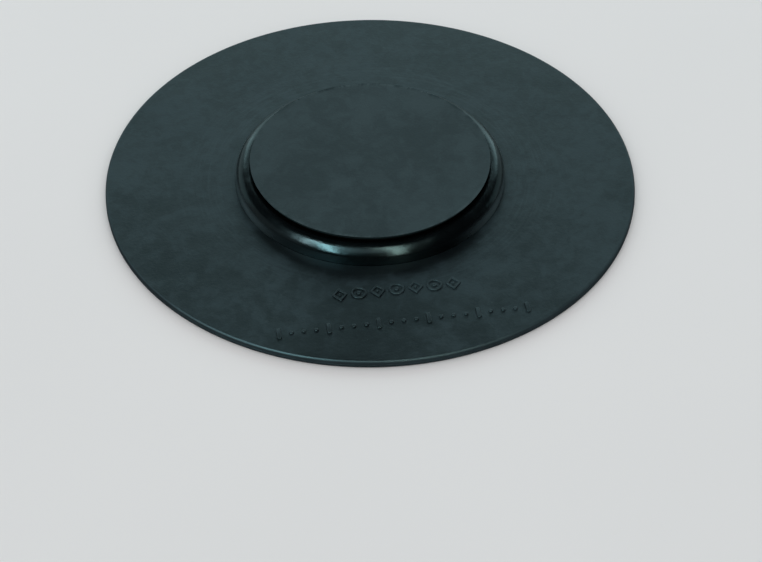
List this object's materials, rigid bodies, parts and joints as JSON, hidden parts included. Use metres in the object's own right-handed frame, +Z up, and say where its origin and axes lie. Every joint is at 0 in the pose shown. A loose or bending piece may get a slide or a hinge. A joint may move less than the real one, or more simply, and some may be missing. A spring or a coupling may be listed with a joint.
{
  "type": "drum practice pad",
  "caption": "Flat round rubber mat that lies on a snare drum, with a sharp-edged raised playing disc on a flexible waist and a glossy rolled ring round its foot",
  "frame": {"origin": "centre of the underside, on the surface that the pad lies on", "axes": "+Z up through the playing disc, X along the rows of raised marks, which lie on the -Y side nearest the player"},
  "size_m": [0.354, 0.354, 0.0204],
  "materials": {
    "gum_rubber": "semi-matte moulded slate-black rubber with wipe marks and a faint bloom",
    "polished_rubber": "glossy black rubber",
    "waist_rubber": "dull black soft rubber",
    "disc_rubber": "even matte slate-black sheet rubber with a die-cut edge",
    "fibre_board": "dense brown fibreboard",
    "cell_rubber": "fine-pored cellular rubber",
    "cover_rubber": "plain black rubber with a fabric-pressed face"
  },
  "bodies": {
    "root": {"base_mat": "gum_rubber", "roll_ring": "polished_rubber", "neck_sleeve": "waist_rubber", "rebound_core": "cell_rubber", "bottom_cover": "cover_rubber"},
    "striking_head": {"playing_disc": "disc_rubber", "stroke_plate": "fibre_board"}
  },
  "joints": [
    {"name": "strike_travel", "type": "slide", "parent": "root", "child": "striking_head", "axis": [0, 0, -1], "range_m": [0, 0.0015], "stiffness_N_per_m": 20000, "deforming": ["neck_sleeve", "rebound_core"]}
  ]
}
